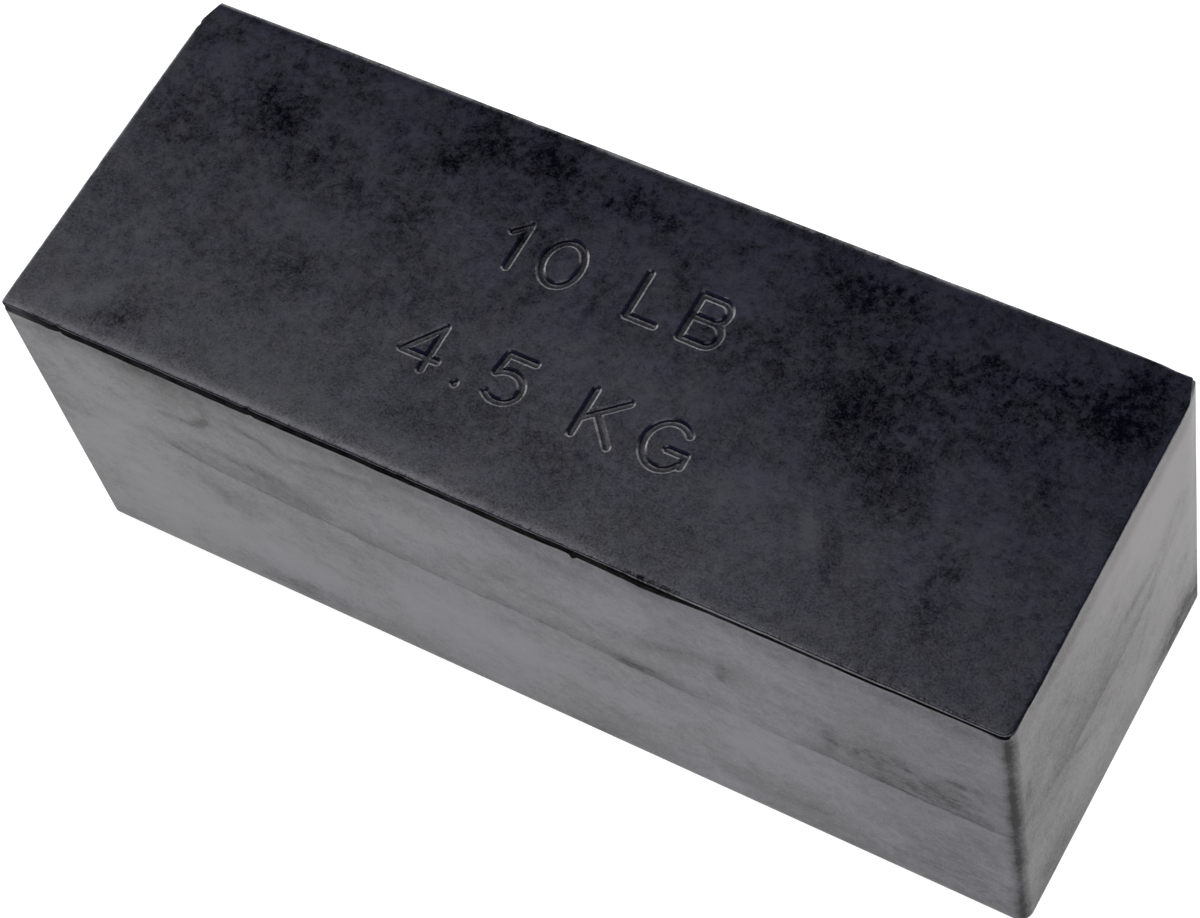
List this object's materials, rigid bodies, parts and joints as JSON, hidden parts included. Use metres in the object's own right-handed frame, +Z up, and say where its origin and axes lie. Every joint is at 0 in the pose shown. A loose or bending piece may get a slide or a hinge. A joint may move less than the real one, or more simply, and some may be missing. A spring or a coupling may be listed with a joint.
{
  "type": "diving brick",
  "caption": "Black rubber diving brick with a steel bar inside, a marked top face, square sides and a trimmed top edge.",
  "frame": {"origin": "middle of the flat base, on the surface that the brick stands on", "axes": "+X along the length, -Y out of the long side seen in the picture, +Z up out of the marked top face"},
  "size_m": [0.229, 0.0834, 0.09],
  "materials": {
    "black_rubber": "satin",
    "bar_steel": "satin"
  },
  "bodies": {
    "root": {"lower_jacket": "black_rubber", "upper_jacket": "black_rubber", "steel_core": "bar_steel"}
  },
  "joints": []
}
